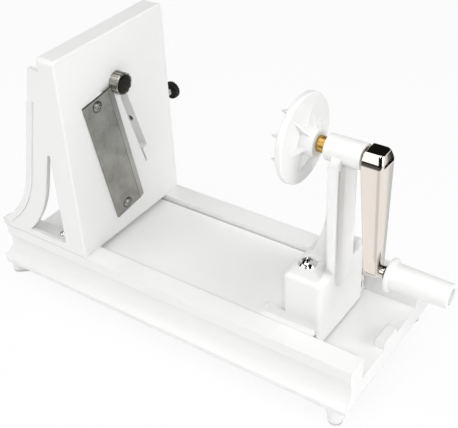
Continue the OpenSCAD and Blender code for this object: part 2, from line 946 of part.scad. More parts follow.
module clamp_knob() {
    color(black)
        placed()
            translate([clamp_x, 0, clamp_z])
                difference() {
                    union() {
                        along_y(knob_radius, knob_start + shoulder_thickness, knob_end);
                        along_y(shoulder_radius, knob_start, knob_start + shoulder_thickness + cut);
                    }
                    for (i = [0 : knob_flutes - 1])
                        rotate([0, i * 360 / knob_flutes, 0])
                            translate([knob_radius, 0, 0])
                                along_y(flute_radius, knob_start, knob_end + cut);
                    along_y(clamp_radius, knob_start - cut, knob_start + knob_thickness / 2);
                }
}

module sled() {
    color(white)
        placed()
            difference() {
                union() {
                    translate([-sled_tail, -deck_half, deck_under])
                        cube([sled_tail + sled_end, 2 * deck_half, deck_thickness]);
                    for (side = [0, 1])
                        mirror([0, side, 0]) {
                            translate([-sled_tail, deck_half - sled_wall, runner_foot])
                                cube([sled_tail + sled_end, sled_wall, deck_under - runner_foot]);
                            translate([-sled_tail, runner_half - runner_width, runner_foot])
                                cube([sled_tail + sled_end, runner_width, runner_height]);
                            translate([-sled_tail, sled_rib_spacing / 2 - sled_wall / 2, runner_foot + runner_height])
                                cube([sled_tail + sled_end, sled_wall, deck_under - runner_foot - runner_height]);
                        }
                    translate([-sled_tail, -deck_half, runner_foot])
                        cube([sled_wall, 2 * deck_half, deck_under - runner_foot]);
                }
                for (side = [-1, 1])
                    translate([bolt_x, side * bolt_spacing / 2, deck_under - cut])
                        cylinder(r = bolt_radius + bolt_fit, h = deck_thickness + 2 * cut);
            }
}

// the rounded block, with its skirt reaching down over the end of the sled
module block_body() {
    half = block_width / 2 - block_round;
    skirt_foot = floor_height + skirt_gap;
    difference() {
        hull() {
            for (side = [-1, 1])
                for (end = [block_front + block_round, upright_back - block_round]) {
                    translate([end, side * half, block_top - block_round])
                        sphere(r = block_round, $fn = 32);
                    translate([end, side * half, skirt_foot])
                        cylinder(r = block_round, h = block_round, $fn = 32);
                }
        }
        translate([block_front - cut, -block_width, skirt_foot - cut])
            cube([sled_end - block_front + cut, 2 * block_width, deck_top - skirt_foot + cut]);
    }
}

module block_cheek() {
    upright_sheet(block_width / 2 - cheek_thickness, cheek_thickness)
        difference() {
            translate([block_front - cheek_length, deck_top])
                square([cheek_length + block_round, cheek_height]);
            difference() {
                translate([block_front - cheek_length, deck_top + cheek_height / 2])
                    square([cheek_height / 2, cheek_height]);
                translate([block_front - cheek_length + cheek_height / 2, deck_top + cheek_height / 2])
                    circle(r = cheek_height / 2);
            }
        }
}

// the hollow down the back of the column and block, with a rounded lower end
module column_groove() {
    groove_radius = (groove_width * groove_width / 4 + groove_depth * groove_depth) / (2 * groove_depth);
    groove_z = deck_top + groove_foot + groove_width / 2;
    translate([upright_back + groove_radius - groove_depth, 0, groove_z])
        rotate_extrude($fn = 96)
            intersection() {
                union() {
                    circle(r = groove_radius, $fn = 96);
                    square([groove_radius, axis_z - tube_radius - groove_z]);
                }
                translate([0, -groove_radius])
                    square([groove_radius, axis_z]);
            }
}

module column_rib() {
    upright_sheet(-rib_thickness / 2, rib_thickness)
        difference() {
            translate([block_front + block_round, block_top - block_wall / 2])
                square([block_length - block_round - column_depth / 2, axis_z - block_top]);
            translate([rib_front - rib_radius, deck_top + rib_start])
                circle(r = rib_radius, $fn = 128);
            translate([block_front, deck_top + rib_start])
                square([rib_front - block_front, axis_z]);
        }
}

module upright() {
    color(white)
        placed()
            difference() {
                union() {
                    difference() {
                        union() {
                            block_body();
                            translate([column_front, -column_width / 2, block_top - block_round])
                                cube([column_depth, column_width, axis_z - column_drop - block_top + block_round]);
                        }
                        translate([block_front + block_wall, -block_width / 2 + block_wall, deck_top - cut])
                            cube([block_length - 2 * block_wall - groove_depth, block_width - 2 * block_wall,
                                block_height - block_wall + cut]);
                        column_groove();
                    }
                    for (side = [-1, 1])
                        translate([bolt_x, side * bolt_spacing / 2, deck_top])
                            cylinder(r = post_radius, h = block_height - block_wall / 2);
                    for (side = [0, 1])
                        mirror([0, side, 0])
                            block_cheek();
                    column_rib();
                    translate([0, 0, axis_z])
                        along_x(tube_radius, tube_start, tube_end);
                }
                translate([0, 0, axis_z])
                    along_x(bush_radius, tube_start - cut, tube_end + cut);
                for (side = [-1, 1])
                    translate([bolt_x, side * bolt_spacing / 2, deck_top - cut])
                        cylinder(r = bolt_radius + bolt_fit, h = block_height + 2 * cut);
            }
}

module carriage_bolts() {
    color(chrome)
        placed()
            for (side = [-1, 1])
                translate([bolt_x, side * bolt_spacing / 2, block_top])
                    domed_screw(bolt_head_radius, bolt_head_height, bolt_radius, block_height + deck_thickness + nut_height);
}

module carriage_nuts() {
    color(steel)
        placed()
            for (side = [-1, 1])
                translate([bolt_x, side * bolt_spacing / 2, deck_under - nut_height])
                    difference() {
                        cylinder(r = nut_radius, h = nut_height, $fn = 6);
                        translate([0, 0, -cut])
                            cylinder(r = bolt_radius, h = nut_height + 2 * cut);
                    }
}

module bush(start) {
    translate([0, 0, axis_z])
        difference() {
            along_x(bush_radius, start, start + bush_length);
            along_x(spindle_radius + spindle_fit, start - cut, start + bush_length + cut);
        }
}

module front_bush() {
    color(brass)
        placed()
            bush(tube_start);
}

module rear_bush() {
    color(brass)
        placed()
            bush(tube_end - bush_length);
}

module spindle() {
    color(steel)
        placed()
            translate([0, 0, axis_z])
                along_x(spindle_radius, wheel_back - spindle_seat, arm_left + arm_seat);
}

module thrust_collar() {
    color(brass)
        placed()
            translate([collar_start, 0, axis_z])
                turned_x()
                    polygon([
                        [spindle_radius, 0],
                        [collar_radius - collar_chamfer, 0],
                        [collar_radius, collar_chamfer],
                        [collar_radius, collar_length - collar_chamfer],
                        [collar_radius - collar_chamfer, collar_length],
                        [spindle_radius, collar_length]
                    ]);
}

module wheel_profile() {
    square([wheel_radius - rim_round, wheel_thickness]);
    translate([0, rim_round])
        square([wheel_radius, wheel_thickness - 2 * rim_round]);
    for (level = [rim_round, wheel_thickness - rim_round])
        translate([wheel_radius - rim_round, level])
            circle(r = rim_round);
    square([hub_radius, wheel_thickness + hub_length]);
}

module at_prongs() {
    for (i = [0 : prong_count - 1])
        rotate([prong_turn + i * 360 / prong_count, 0, 0])
            translate([wheel_front, prong_circle, 0])
                rotate([0, -90, 0])
                    children();
}

module pronged_wheel() {
    color(white)
        placed()
            translate([0, 0, axis_z])
                difference() {
                    union() {
                        translate([wheel_front, 0, 0])
                            turned_x()
                                wheel_profile();
                        for (i = [0 : wheel_ribs - 1])
                            rotate([wheel_rib_turn + i * 360 / wheel_ribs, 0, 0])
                                translate([wheel_back - cut, 0, -wheel_rib_thickness / 2])
                                    linear_extrude(height = wheel_rib_thickness)
                                        polygon([
                                            [0, spindle_radius + cut],
                                            [wheel_rib_height, spindle_radius + cut],
                                            [wheel_rib_height, hub_radius],
                                            [cut, wheel_rib_reach],
                                            [0, wheel_rib_reach]
                                        ]);
                    }
                    along_x(spindle_radius, wheel_back - spindle_seat, collar_start + cut);
                    at_prongs()
                        translate([0, 0, -prong_seat])
                            cylinder(r = prong_radius, h = prong_seat + cut);
                }
}

module prongs() {
    color(steel)
        placed()
            translate([0, 0, axis_z])
                at_prongs()
                    rotate_extrude()
                        polygon([
                            [0, -prong_seat],
                            [prong_radius, -prong_seat],
                            [prong_radius, prong_reach - prong_point],
                            [0, prong_reach]
                        ]);
}

// four balls at the corners of the arm at the given level, set in from its inner face, outer face and edges
module arm_ring(level, ball, back_inset, face_inset, inset) {
    for (end = [arm_left + ball + back_inset, arm_right - ball - face_inset])
        for (side = [-1, 1])
            translate([end, side * (arm_width / 2 - ball - inset), level])
                sphere(r = ball, $fn = 24);
}

// the round lower end of the arm, about the handle's pin
module arm_end() {
    for (end = [arm_right - arm_end_thickness + arm_end_round, arm_right - arm_end_round])
        translate([end, 0, pin_z])
            turned_x()
                translate([arm_end_width / 2 - arm_end_round, 0])
                    circle(r = arm_end_round, $fn = 24);
}

module crank_arm() {
    color(chrome)
        placed()
            difference() {
                union() {
                    hull() {
                        arm_ring(axis_z + arm_shoulder, arm_round, 0, 0, 0);
                        arm_ring(axis_z + arm_shoulder + arm_cap - cap_round, cap_round, cap_back_inset,
                            cap_face_inset, cap_inset);
                        arm_end();
                    }
                    translate([0, 0, pin_z])
                        along_x(boss_radius, arm_right - arm_end_round, boss_end);
                }
                translate([0, 0, axis_z])
                    along_x(spindle_radius, arm_left - cut, arm_left + arm_seat);
                translate([0, 0, pin_z])
                    along_x(pin_radius, arm_right - pin_seat, boss_end + cut);
                translate([arm_left + arm_seat / 2, 0, axis_z])
                    along_y(grub_radius, 0, arm_width);
            }
}

module grub_screw() {
    color(steel)
        placed()
            translate([arm_left + arm_seat / 2, 0, axis_z])
                along_y(grub_radius, spindle_radius, spindle_radius + grub_length);
}

module handle_pin() {
    color(steel)
        placed()
            translate([0, 0, pin_z]) {
                along_x(pin_radius, arm_right - pin_seat, pin_head_start + pin_head_height);
                along_x(pin_head_radius, pin_head_start, pin_head_start + pin_head_height);
            }
}

module handle_washer() {
    color(black)
        placed()
            translate([0, 0, pin_z])
                difference() {
                    along_x(washer_radius, boss_end, washer_end);
                    along_x(pin_radius, boss_end - cut, washer_end + cut);
                }
}

module grip_profile() {
    square([flange_radius - grip_round, flange_depth]);
    translate([0, grip_round])
        square([flange_radius, flange_depth - 2 * grip_round]);
    for (level = [grip_round, flange_depth - grip_round])
        translate([flange_radius - grip_round, level])
            circle(r = grip_round);
    polygon([
        [0, flange_depth / 2],
        [grip_radius, flange_depth / 2],
        [grip_end_radius, grip_length - grip_round],
        [grip_end_radius - grip_round, grip_length],
        [0, grip_length]
    ]);
}

module handle_grip() {
    color(white)
        placed()
            translate([0, 0, pin_z])
                difference() {
                    translate([grip_start, 0, 0])
                        turned_x()
                            grip_profile();
                    along_x(pin_radius + grip_fit, grip_start - cut, grip_end);
                    along_x(grip_bore, pin_head_start - face_gap, grip_end + cut);
                }
}

base_shell();
foot_near_left();
foot_far_left();
foot_near_right();
foot_far_right();
foot_pads();
foot_screws();
blade_frame();
frame_screws();
slicing_blade();
blade_screws();
core_tube();
clamp_stud();
clamp_knob();
sled();
upright();
carriage_bolts();
carriage_nuts();
front_bush();
rear_bush();
spindle();
thrust_collar();
pronged_wheel();
prongs();
crank_arm();
grub_screw();
handle_pin();
handle_washer();
handle_grip();
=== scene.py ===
import bpy
import bmesh
import math
from mathutils import Matrix, Vector


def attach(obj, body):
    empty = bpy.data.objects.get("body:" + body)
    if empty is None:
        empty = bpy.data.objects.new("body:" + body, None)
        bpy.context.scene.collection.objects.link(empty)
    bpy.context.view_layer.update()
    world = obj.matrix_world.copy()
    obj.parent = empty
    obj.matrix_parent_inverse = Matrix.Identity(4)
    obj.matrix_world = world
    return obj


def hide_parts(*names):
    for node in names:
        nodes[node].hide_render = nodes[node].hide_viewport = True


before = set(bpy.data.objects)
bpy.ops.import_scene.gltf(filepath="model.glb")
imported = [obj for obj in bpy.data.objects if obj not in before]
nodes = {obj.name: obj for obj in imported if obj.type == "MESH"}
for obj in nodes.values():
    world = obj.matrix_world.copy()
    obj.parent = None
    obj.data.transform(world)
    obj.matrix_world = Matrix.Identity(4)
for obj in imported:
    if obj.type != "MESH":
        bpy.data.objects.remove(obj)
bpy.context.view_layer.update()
print("frame loaded:", len(nodes), "nodes")

# the frame's origin, in millimetres from the middle of the base's lower edge
origin = {"x": 22.0, "y": 3.75, "z": -16.0}
perMetre = 1000


# a point set out from the middle of the base's lower edge, in millimetres, to the frame's metres
def spot(x, y, z):
    return Vector((x - origin["x"], y - origin["y"], z - origin["z"])) / perMetre


# a socket that takes part in sums, each sum adding a Math node
class Wire:
    def __init__(self, paint, socket):
        self.paint = paint
        self.socket = socket

    def sum(self, operation, other, flip=False):
        first, second = (other, self) if flip else (self, other)
        return self.paint.node("ShaderNodeMath", {"operation": operation}, {0: first, 1: second})

    def __add__(self, other):
        return self.sum("ADD", other)

    def __radd__(self, other):
        return self.sum("ADD", other, True)

    def __sub__(self, other):
        return self.sum("SUBTRACT", other)

    def __rsub__(self, other):
        return self.sum("SUBTRACT", other, True)

    def __mul__(self, other):
        return self.sum("MULTIPLY", other)

    def __rmul__(self, other):
        return self.sum("MULTIPLY", other, True)

    def __pow__(self, other):
        return self.sum("POWER", other)


# one material's node tree
class Paint:
    def __init__(self, name, tree=None):
        if tree is None:
            self.material = bpy.data.materials.new(name)
            self.material.use_nodes = True
            tree = self.material.node_tree
        self.tree = tree
        self.tree.nodes.clear()

    def node(self, kind, settings=None, inputs=None, out=0):
        made = self.tree.nodes.new(kind)
        for key, value in (settings or {}).items():
            setattr(made, key, value)
        for key, value in (inputs or {}).items():
            if isinstance(value, Wire):
                self.tree.links.new(value.socket, made.inputs[key])
            else:
                made.inputs[key].default_value = value
        return Wire(self, made.outputs[out]) if len(made.outputs) else None

    def place(self, turn=(0, 0, 0), stretch=(1, 1, 1), shift=(0, 0, 0)):
        where = self.node("ShaderNodeTexCoord", out="Object")
        inputs = {"Vector": where, "Location": shift, "Rotation": turn, "Scale": stretch}
        return self.node("ShaderNodeMapping", {}, inputs)

    def axis(self, where, letter):
        return self.node("ShaderNodeSeparateXYZ", {}, {"Vector": where}, letter)

    def noise(self, where, scale, detail=2.0, rough=0.5):
        inputs = {"Vector": where, "Scale": scale, "Detail": detail, "Roughness": rough}
        return self.node("ShaderNodeTexNoise", {}, inputs)

    # a noise brought about zero
    def swing(self, noise, amount):
        return (noise - 0.5) * amount

    def mix(self, amount, first, second):
        return self.node("ShaderNodeMix", {"data_type": "RGBA"}, {0: amount, 6: first, 7: second}, 2)

    def fade(self, value, start, end):
        inputs = {"Value": value, "From Min": start, "From Max": end}
        return self.node("ShaderNodeMapRange", {"interpolation_type": "SMOOTHSTEP"}, inputs)

    def apart(self, value, other):
        return self.node("ShaderNodeMath", {"operation": "ABSOLUTE"}, {0: value - other})

    def most(self, value, other):
        return self.node("ShaderNodeMath", {"operation": "MAXIMUM"}, {0: value, 1: other})

    def ray(self, kind):
        return self.node("ShaderNodeLightPath", out=kind)

    # bumps of a height over edges rounded by shading
    def bump(self, height, look):
        edge = self.node("ShaderNodeBevel", {"samples": 6}, {"Radius": look["edge"]})
        inputs = {"Height": height, "Strength": look["bump"], "Distance": look["depth"], "Normal": edge}
        return self.node("ShaderNodeBump", {}, inputs)

    def blend(self, share, first, second):
        return self.node("ShaderNodeMixShader", {}, {0: share, 1: first, 2: second})

    def surface(self, inputs):
        shader = self.node("ShaderNodeBsdfPrincipled", {}, inputs)
        self.node("ShaderNodeOutputMaterial", {}, {"Surface": shader})
        return self.material


# in the looks below a noise is given as scale, detail and roughness, and lengths are in metres

# white moulded plastic: faint flow clouding, fine spark-eroded grain, soft moulded edges
plasticLook = {
    "colour": (0.90, 0.90, 0.895, 1), "shade": (0.86, 0.86, 0.85, 1), "rough": 0.34, "ior": 1.49,
    "cloud": (9.0, 3.0, 0.5), "cloudRise": 0.5,
    "grain": (1500.0, 2.0, 0.6), "grainRise": 0.5, "grainSwing": 0.06,
    "smear": (38.0, 4.0, 0.6), "smearStretch": (1, 1, 3), "smearSwing": 0.10,
    "bump": 0.06, "depth": 0.0004, "edge": 0.0009}
deckLook = dict(plasticLook, rough=0.42, grain=(900.0, 2.0, 0.6), bump=0.10)
gripLook = dict(plasticLook, rough=0.38, grain=(1100.0, 2.0, 0.6), bump=0.08)


def mouldedWhite(name, look):
    paint = Paint(name)
    where = paint.place()
    cloud = paint.noise(where, *look["cloud"])
    grain = paint.noise(where, *look["grain"])
    smear = paint.noise(paint.place(stretch=look["smearStretch"]), *look["smear"])
    rough = look["rough"] + paint.swing(smear, look["smearSwing"]) + paint.swing(grain, look["grainSwing"])
    lumps = grain * look["grainRise"] + cloud * look["cloudRise"]
    return paint.surface({
        "Base Color": paint.mix(cloud, look["shade"], look["colour"]), "Roughness": rough,
        "IOR": look["ior"], "Normal": paint.bump(lumps, look)})


# rolled steel: long fine scratches along one direction, darker towards the tip where the look has one
pinLook = {
    "dark": (0.55, 0.55, 0.54, 1), "light": (0.78, 0.78, 0.77, 1), "metal": 1.0, "rough": 0.28,
    "lines": (1.0, 3.0, 0.65), "stretch": (30, 1200, 1200), "lineShare": 0.7, "lineSwing": 0.22,
    "blotch": (45.0, 3.0, 0.5), "blotchSwing": 0.1, "bump": 0.12, "depth": 0.0002, "edge": 0.0003}
prongLook = dict(pinLook, dark=(0.80, 0.80, 0.79, 1), light=(0.90, 0.90, 0.89, 1), rough=0.55, metal=0.35)
studLook = dict(pinLook, tip=(0.040, 0.044), tipColour=(0.04, 0.04, 0.038, 1))


def brushedSteel(name, look):
    paint = Paint(name)
    lines = paint.noise(paint.place(stretch=look["stretch"]), *look["lines"])
    blotch = paint.noise(paint.place(), *look["blotch"])
    level = lines * look["lineShare"] + blotch * (1 - look["lineShare"])
    colour = paint.mix(level, look["dark"], look["light"])
    if "tip" in look:
        side = paint.axis(paint.place(), "Y")
        colour = paint.mix(paint.fade(side, *look["tip"]), look["tipColour"], colour)
    rough = look["rough"] + paint.swing(lines, look["lineSwing"]) + paint.swing(blotch, look["blotchSwing"])
    return paint.surface({
        "Base Color": colour, "Metallic": look["metal"], "Roughness": rough,
        "Normal": paint.bump(lines, look)})


# the blade's steel: a paler ground strip, and painted shade in a dark line where the grinding starts,
# in dark rims round the screws and in a dark band along the top
bladeLook = {
    "dark": (0.225, 0.221, 0.203, 1), "light": (0.46, 0.452, 0.424, 1), "ground": (0.53, 0.52, 0.495, 1),
    "shadeTone": (0.03, 0.028, 0.025, 1), "rough": 0.34,
    "lines": (1.0, 3.0, 0.65), "stretch": (900, 1400, 18), "lineShare": 0.4, "lineSwing": 0.22,
    "blotch": (55.0, 4.0, 0.6), "blotchRange": (0.25, 0.75), "blotchSwing": 0.1,
    "grind": (0.0115, 0.0117), "groundShare": 0.5, "line": (0.0001, 0.0004), "lineDark": 0.75,
    "rim": (0.0005, 0.0010), "rimShadeAmount": 0.95, "top": (0.0598, 0.0602), "topShadeAmount": 0.8,
    "bump": 0.12, "depth": 0.0002, "edge": 0.0003}
# the blade's seat on the plate and its screws, in millimetres and degrees
bladeSeat = {"front": -77.0, "side": -14.6, "height": 116.4, "lean": 10.9, "lift": -4.0,
             "width": 35.0, "thickness": 1.5}
bladeScrew = {"head": 4.2, "rise": 2.0, "shank": 2.2, "length": 11.0,
              "reach": 53.5, "offset": 3.5, "turn": 31.0}


def groundBlade(name, look, seat, screw):
    paint = Paint(name)
    lean = math.radians(seat["lean"])
    middle = Matrix.Rotation(-lean, 3, "X") @ spot(seat["front"], seat["side"], seat["height"])
    where = paint.place((-lean, 0, 0), shift=-middle)
    across = paint.axis(where, "Y")
    along = paint.axis(where, "Z")
    lines = paint.noise(paint.place((-lean, 0, 0), look["stretch"]), *look["lines"])
    blotch = paint.fade(paint.noise(where, *look["blotch"]), *look["blotchRange"])
    level = lines * look["lineShare"] + blotch * (1 - look["lineShare"])
    ground = paint.fade(across, *look["grind"]) * look["groundShare"]
    colour = paint.mix(ground, paint.mix(level, look["dark"], look["light"]), look["ground"])
    # painted shade: a thin dark line where the grinding starts, dark rims round the screw heads and a dark
    # band at the top, mixed towards one dark tone
    line = 1 - paint.fade(paint.apart(across, look["grind"][0]), *look["line"])
    offset = paint.apart(across, -screw["offset"] / perMetre)
    reach = paint.apart(paint.apart(along, 0), screw["reach"] / perMetre)
    ring = paint.apart((offset * offset + reach * reach) ** 0.5, screw["head"] / perMetre)
    rim = 1 - paint.fade(ring, *look["rim"])
    top = paint.fade(along, *look["top"])
    marks = paint.most(paint.most(line * look["lineDark"], rim * look["rimShadeAmount"]), top * look["topShadeAmount"])
    rough = look["rough"] + paint.swing(lines, look["lineSwing"]) + paint.swing(blotch, look["blotchSwing"])
    return paint.surface({
        "Base Color": paint.mix(marks, colour, look["shadeTone"]), "Metallic": 1.0, "Roughness": rough,
        "Normal": paint.bump(lines, look)})


# the core ring's steel, streaked outside, with painted shade making it dark and dull down the bore
ringLook = {
    "dark": (0.10, 0.095, 0.08, 1), "light": (0.72, 0.70, 0.64, 1), "bore": (0.09, 0.088, 0.075, 1),
    "rough": 0.22,
    "streak": (1.0, 3.0, 0.6), "stretch": (25, 420, 420), "streakRange": (0.3, 0.7), "streakSwing": 0.2,
    "boreShadeEdge": (0.0001, 0.0005), "boreShadeDull": 0.8, "bump": 0.12, "depth": 0.0002, "edge": 0.0003}
tube = {"start": -94.0, "axis": 177.5, "length": 25.5, "outer": 9.5, "inner": 8.1,
        "lip": 0.55, "lipSteps": 4, "around": 72, "sharp": 40, "crease": 40}


def boredSteel(name, look, ring):
    paint = Paint(name)
    where = paint.place(shift=-spot(0, 0, ring["axis"]))
    flat = paint.node("ShaderNodeVectorMath", {"operation": "MULTIPLY"}, {0: where, 1: (0, 1, 1)})
    out = paint.node("ShaderNodeVectorMath", {"operation": "LENGTH"}, {0: flat}, "Value")
    # painted shade: down the bore the colour turns dark and the metal dull
    bore = 1 - paint.fade(out, *(ring["inner"] / perMetre + step for step in look["boreShadeEdge"]))
    streaks = paint.noise(paint.place(stretch=look["stretch"]), *look["streak"])
    streak = paint.fade(streaks, *look["streakRange"])
    colour = paint.mix(bore, paint.mix(streak, look["dark"], look["light"]), look["bore"])
    return paint.surface({
        "Base Color": colour, "Metallic": 1 - bore * look["boreShadeDull"],
        "Roughness": look["rough"] + paint.swing(streak, look["streakSwing"]),
        "Normal": paint.bump(streak, look)})


# plated or turned metal with a trace of handling marks
chromeLook = {
    "dark": (0.80, 0.735, 0.67, 1), "light": (0.86, 0.795, 0.73, 1), "rough": 0.07,
    "marks": (420.0, 4.0, 0.7), "markSwing": 0.05, "haze": (22.0, 2.0, 0.5),
    "bump": 0.01, "depth": 0.0001, "edge": 0.0004}
boltLook = dict(chromeLook, dark=(0.76, 0.76, 0.75, 1), light=(0.84, 0.84, 0.83, 1), rough=0.12)
satinLook = dict(chromeLook, dark=(0.30, 0.295, 0.28, 1), light=(0.46, 0.45, 0.43, 1), rough=0.36)
brassLook = dict(chromeLook, dark=(0.50, 0.31, 0.07, 1), light=(0.80, 0.52, 0.16, 1), rough=0.26,
                 marks=(700.0, 4.0, 0.7), markSwing=0.14, bump=0.05, edge=0.0002)


def brightMetal(name, look):
    paint = Paint(name)
    where = paint.place()
    marks = paint.noise(where, *look["marks"])
    haze = paint.noise(where, *look["haze"])
    return paint.surface({
        "Base Color": paint.mix(haze, look["dark"], look["light"]), "Metallic": 1.0,
        "Roughness": look["rough"] + paint.swing(marks, look["markSwing"]),
        "Normal": paint.bump(marks, look)})


# grained plastic or rubber with a little dust
knobLook = {
    "dark": (0.012, 0.012, 0.011, 1), "light": (0.03, 0.03, 0.028, 1), "rough": 0.22, "gloss": 0.25,
    "grain": (1400.0, 3.0, 0.6), "grainSwing": 0.2, "dust": (120.0, 4.0, 0.7),
    "bump": 0.08, "depth": 0.0002, "edge": 0.0003}
padLook = dict(knobLook, dark=(0.60, 0.60, 0.59, 1), light=(0.70, 0.70, 0.69, 1), rough=0.7, gloss=0.5,
               grain=(1200.0, 3.0, 0.6), bump=0.3, edge=0.0004)


def grainedPlastic(name, look):
    paint = Paint(name)
    where = paint.place()
    grain = paint.noise(where, *look["grain"])
    dust = paint.noise(where, *look["dust"])
    return paint.surface({
        "Base Color": paint.mix(dust, look["dark"], look["light"]),
        "Roughness": look["rough"] + paint.swing(grain, look["grainSwing"]),
        "Specular IOR Level": look["gloss"], "Normal": paint.bump(grain, look)})


whitePlastic = mouldedWhite("moulded_white", plasticLook)
deckPlastic = mouldedWhite("deck_white", deckLook)
gripPlastic = mouldedWhite("grip_white", gripLook)
bladeSteel = groundBlade("blade_steel", bladeLook, bladeSeat, bladeScrew)
pinSteel = brushedSteel("pin_steel", pinLook)
ringSteel = boredSteel("ring_steel", ringLook, tube)
prongSteel = brushedSteel("prong_steel", prongLook)
studSteel = brushedSteel("stud_steel", studLook)
chromePlate = brightMetal("chrome_plate", chromeLook)
boltPlate = brightMetal("bolt_plate", boltLook)
screwSatin = brightMetal("screw_satin", satinLook)
knurlBrass = brightMetal("knurled_brass", brassLook)
knobBlack = grainedPlastic("knob_black", knobLook)
padRubber = grainedPlastic("pad_rubber", padLook)
print("materials made")


finishes = {
    "base_shell": whitePlastic, "foot_near_left": whitePlastic, "foot_far_left": whitePlastic,
    "foot_near_right": whitePlastic, "foot_far_right": whitePlastic, "foot_pads": padRubber,
    "foot_screws": pinSteel, "blade_frame": whitePlastic, "frame_screws": boltPlate,
    "slicing_blade": bladeSteel, "blade_screws": screwSatin, "core_tube": ringSteel,
    "clamp_stud": studSteel, "clamp_knob": knobBlack, "sled": deckPlastic, "upright": whitePlastic,
    "carriage_bolts": boltPlate, "carriage_nuts": pinSteel, "front_bush": knurlBrass,
    "rear_bush": knurlBrass, "spindle": pinSteel, "thrust_collar": knurlBrass,
    "pronged_wheel": whitePlastic, "prongs": prongSteel, "crank_arm": chromePlate,
    "grub_screw": pinSteel, "handle_pin": pinSteel, "handle_washer": knobBlack, "handle_grip": gripPlastic}
for name, finish in finishes.items():
    mesh = nodes[name].data
    mesh.materials.clear()
    mesh.materials.append(finish)
print("finishes given to", len(finishes), "nodes")


# the pieces below are drawn in millimetres and set in place by this
def standing(place, turn=Matrix()):
    return Matrix.Translation(place) @ turn @ Matrix.Scale(1 / perMetre, 4)


alongX = Matrix.Rotation(math.radians(90), 4, "Y")
alongY = Matrix.Rotation(math.radians(-90), 4, "X")
weld = 0.0005


def tidied(shape):
    bmesh.ops.remove_doubles(shape, verts=shape.verts, dist=weld)
    bmesh.ops.recalc_face_normals(shape, faces=shape.faces)
    return shape


# turns a half outline of (radius, height) points about Z
def turned(outline, steps, closed=False):
    shape = bmesh.new()
    points = [shape.verts.new((radius, 0, height)) for radius, height in outline]
    ends = points[1:] + points[:1] if closed else points[1:]
    lines = [shape.edges.new(pair) for pair in zip(points, ends)]
    bmesh.ops.spin(shape, geom=points + lines, cent=(0, 0, 0), axis=(0, 0, 1),
                   angle=math.tau, steps=steps, use_merge=True)
    return tidied(shape)


def roundOver(shape, width, segments, wanted):
    edges = [edge for edge in shape.edges if len(edge.link_faces) == 2 and wanted(edge)]
    bmesh.ops.bevel(shape, geom=edges, offset=width, segments=segments, profile=0.5,
                    affect="EDGES", material=-1)


def sharper(degrees):
    return lambda edge: edge.calc_face_angle() > math.radians(degrees)


def fillHoles(shape):
    bmesh.ops.holes_fill(shape, edges=[edge for edge in shape.edges if edge.is_boundary], sides=0)


# how far a point lies from the Z axis
def spread(point):
    return math.hypot(point.co.x, point.co.y)


def toMesh(name, shape, place=None):
    if place is not None:
        bmesh.ops.transform(shape, matrix=place, verts=shape.verts)
    mesh = bpy.data.meshes.new(name)
    shape.to_mesh(mesh)
    shape.free()
    return mesh


def toPiece(name, mesh, finish, body, stands, crease=32):
    mesh.shade_smooth()
    mesh.set_sharp_from_angle(angle=math.radians(crease))
    mesh.materials.append(finish)
    piece = bpy.data.objects.new(name, mesh)
    bpy.context.scene.collection.objects.link(piece)
    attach(piece, body)
    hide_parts(stands)
    print("made", name, len(mesh.polygons), "faces")
    return piece


def evenNormals(piece):
    even = piece.modifiers.new("even", "WEIGHTED_NORMAL")
    even.keep_sharp = True
    even.weight = 90


# domed screws standing on z = 0; the cross in the head is given as shares of its radius and rise
cross = {"length": 1.08, "width": 0.22, "depth": 1.1, "domeSteps": 10, "around": 40, "crease": 28}


def crossScrew(look):
    radius, height = look["head"], look["rise"]
    ball = (radius * radius + height * height) / (2 * height)
    shape = bmesh.new()
    crown = shape.verts.new((0, 0, height))
    bmesh.ops.spin(shape, geom=[crown], cent=(0, 0, height - ball), axis=(0, 1, 0),
                   angle=math.asin(radius / ball), steps=cross["domeSteps"])
    shape.verts.ensure_lookup_table()
    rim = shape.verts[-1]
    inner = shape.verts.new((look["shank"], 0, 0))
    foot = shape.verts.new((look["shank"], 0, -look["length"]))
    tip = shape.verts.new((0, 0, -look["length"]))
    for pair in ((rim, inner), (inner, foot), (foot, tip)):
        shape.edges.new(pair)
    bmesh.ops.spin(shape, geom=shape.verts[:] + shape.edges[:], cent=(0, 0, 0), axis=(0, 0, 1),
                   angle=math.tau, steps=cross["around"], use_merge=True)
    body = bpy.data.objects.new("screw", toMesh("screw", tidied(shape)))
    size = (radius * cross["length"], radius * cross["width"], height * cross["depth"])
    cutter = bmesh.new()
    for turn in (0, 90):
        place = Matrix.Translation((0, 0, height))
        bar = bmesh.ops.create_cube(cutter, size=1.0, matrix=place)["verts"]
        bmesh.ops.scale(cutter, vec=size, verts=bar, space=place.inverted())
        quarter = Matrix.Rotation(math.radians(turn), 3, "Z")
        bmesh.ops.rotate(cutter, cent=(0, 0, 0), matrix=quarter, verts=bar)
    blade = bpy.data.objects.new("cross", toMesh("cross", cutter))
    recess = body.modifiers.new("recess", "BOOLEAN")
    recess.object = blade
    recess.solver = "EXACT"
    recess.use_self = True
    for item in (body, blade):
        bpy.context.scene.collection.objects.link(item)
    made = bpy.data.meshes.new_from_object(body.evaluated_get(bpy.context.evaluated_depsgraph_get()))
    for item in (body, blade):
        bpy.data.objects.remove(item)
    return made


def screwSet(name, look, places, finish, body, stands):
    one = crossScrew(look)
    shape = bmesh.new()
    for place in places:
        copy = one.copy()
        copy.transform(place)
        shape.from_mesh(copy)
        bpy.data.meshes.remove(copy)
    toPiece(name, toMesh(name, shape), finish, body, stands, cross["crease"])


carriageBolt = {"head": 7.5, "rise": 4.2, "shank": 4.0, "length": 55.0,
                "x": 114.0, "apart": 32.0, "seat": 79.0, "turn": 24.0}
boltTurn = Matrix.Rotation(math.radians(carriageBolt["turn"]), 4, "Z")
screwSet("carriage_bolt_heads", carriageBolt,
         [standing(spot(carriageBolt["x"], side * carriageBolt["apart"] / 2, carriageBolt["seat"]), boltTurn)
          for side in (-1, 1)],
         boltPlate, "carriage", "carriage_bolts")

